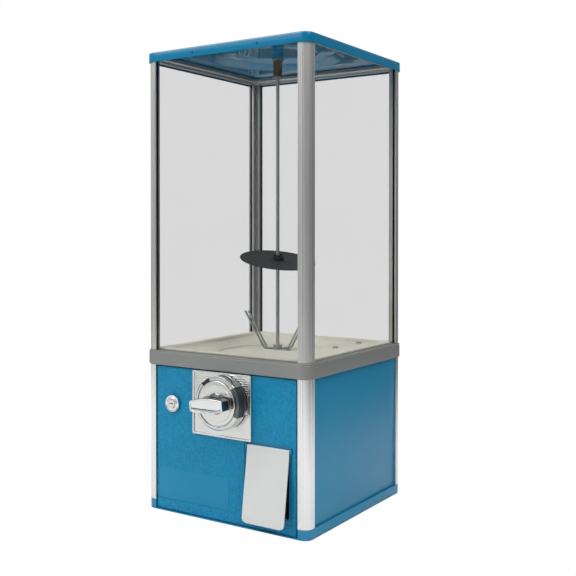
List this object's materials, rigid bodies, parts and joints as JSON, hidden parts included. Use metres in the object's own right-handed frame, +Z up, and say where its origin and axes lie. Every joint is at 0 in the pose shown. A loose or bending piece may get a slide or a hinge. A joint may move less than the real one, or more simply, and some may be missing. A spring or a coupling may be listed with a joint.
{
  "type": "gumball machine",
  "caption": "Square-cabinet gumball machine: steel base with coin mechanism, chute flap and locking door, clear tall globe on grey posts, lift-off lid.",
  "frame": {"origin": "centre of the cabinet's underside, on the centre rod's axis", "axes": "+Z up, -Y out of the door with the coin mechanism, +X to the right of someone facing the door"},
  "size_m": [0.27, 0.311, 0.6512],
  "materials": {
    "blue_paint": "semi-gloss powder coat, orange peel on the door",
    "bright_aluminium": "bright anodised",
    "satin_aluminium": "satin anodised",
    "grey_band": "satin grey paint",
    "clear_pane": "clear, faintly grey",
    "cream_plastic": "moulded, soft sheen",
    "chrome": "polished plate",
    "zinc_plate": "zinc plated",
    "baffle_black": "matte black",
    "rubber_black": "matte",
    "brass": "dull turned brass",
    "flap_grey": "smooth satin",
    "bare_steel": "bare pressed or turned steel"
  },
  "bodies": {
    "root": {"base_tray": "blue_paint", "left_panel": "blue_paint", "right_panel": "blue_paint", "back_panel": "blue_paint", "lower_post_front_left": "bright_aluminium", "lower_post_front_right": "bright_aluminium", "lower_post_back_left": "bright_aluminium", "lower_post_back_right": "bright_aluminium", "upper_post_front_left": "satin_aluminium", "upper_post_front_right": "satin_aluminium", "upper_post_back_left": "satin_aluminium", "upper_post_back_right": "satin_aluminium", "top_frame": "satin_aluminium", "mid_frame": "grey_band", "window_left": "clear_pane", "window_right": "clear_pane", "window_back": "clear_pane", "window_front": "clear_pane", "hopper": "cream_plastic", "outlet_guard": "cream_plastic", "centre_rod": "zinc_plate", "rod_nut": "zinc_plate", "guard_screw_front": "zinc_plate", "guard_screw_back": "zinc_plate", "chute": "baffle_black", "coin_box": "bare_steel", "door_hinge_pin_upper": "bare_steel", "door_hinge_pin_lower": "bare_steel"},
    "lid": {"lid": "blue_paint", "lid_boss": "blue_paint", "rod_sleeve": "brass", "sleeve_washer_upper": "zinc_plate", "sleeve_washer_lower": "zinc_plate"},
    "lid_lock": {"lid_lock_plug": "chrome"},
    "door": {"door_panel": "blue_paint", "flap_frame": "blue_paint", "flap_hinge_pin": "bare_steel", "door_lock_barrel": "chrome", "door_lock_nut": "zinc_plate", "coin_plate": "chrome", "coin_drum": "chrome", "coin_mech_body": "zinc_plate", "pawl_pivot": "bare_steel"},
    "door_lock": {"door_lock_plug": "chrome", "door_lock_cam": "zinc_plate"},
    "flap": {"flap": "flap_grey"},
    "handle": {"handle": "chrome", "handle_shaft": "bare_steel", "coin_disc": "zinc_plate", "ratchet_wheel": "bare_steel", "drive_gear": "zinc_plate", "shaft_nut": "zinc_plate"},
    "pawl": {"ratchet_pawl": "bare_steel"},
    "wheel": {"dispensing_wheel": "cream_plastic", "agitator": "zinc_plate", "agitator_nut": "zinc_plate"},
    "baffle": {"baffle_disc": "baffle_black", "baffle_collar": "rubber_black"}
  },
  "joints": [
    {"name": "lid_lift", "type": "slide", "parent": "root", "child": "lid", "axis": [0, 0, 1], "range_m": [0, 0.12]},
    {"name": "lid_lock_turn", "type": "hinge", "parent": "lid", "child": "lid_lock", "pos_m": [0, 0, 0.65], "axis": [0, 0, 1], "range_deg": [0, 90]},
    {"name": "door_swing", "type": "hinge", "parent": "root", "child": "door", "pos_m": [0.1109, -0.1274, 0.1], "axis": [0, 0, 1], "range_deg": [0, 90]},
    {"name": "door_lock_turn", "type": "hinge", "parent": "door", "child": "door_lock", "pos_m": [-0.0866, -0.131, 0.1516], "axis": [0, 1, 0], "range_deg": [0, 90]},
    {"name": "flap_lift", "type": "hinge", "parent": "door", "child": "flap", "pos_m": [0.0725, -0.1319, 0.11], "axis": [-1, 0, 0], "range_deg": [0, 75]},
    {"name": "handle_turn", "type": "hinge", "parent": "door", "child": "handle", "pos_m": [0.004, -0.131, 0.164], "axis": [0, 1, 0], "continuous": true},
    {"name": "pawl_lift", "type": "hinge", "parent": "door", "child": "pawl", "pos_m": [-0.014, -0.11, 0.182], "axis": [0, 1, 0], "range_deg": [0, 15], "stiffness_Nm_per_rad": 0.02},
    {"name": "wheel_turn", "type": "hinge", "parent": "root", "child": "wheel", "pos_m": [0, 0, 0.2], "axis": [0, 0, 1], "continuous": true},
    {"name": "baffle_slide", "type": "slide", "parent": "root", "child": "baffle", "axis": [0, 0, 1], "range_m": [-0.055, 0.24]}
  ],
  "couplings": [
    {"joint": "wheel_turn", "follows": "handle_turn", "ratio": 0.25}
  ]
}
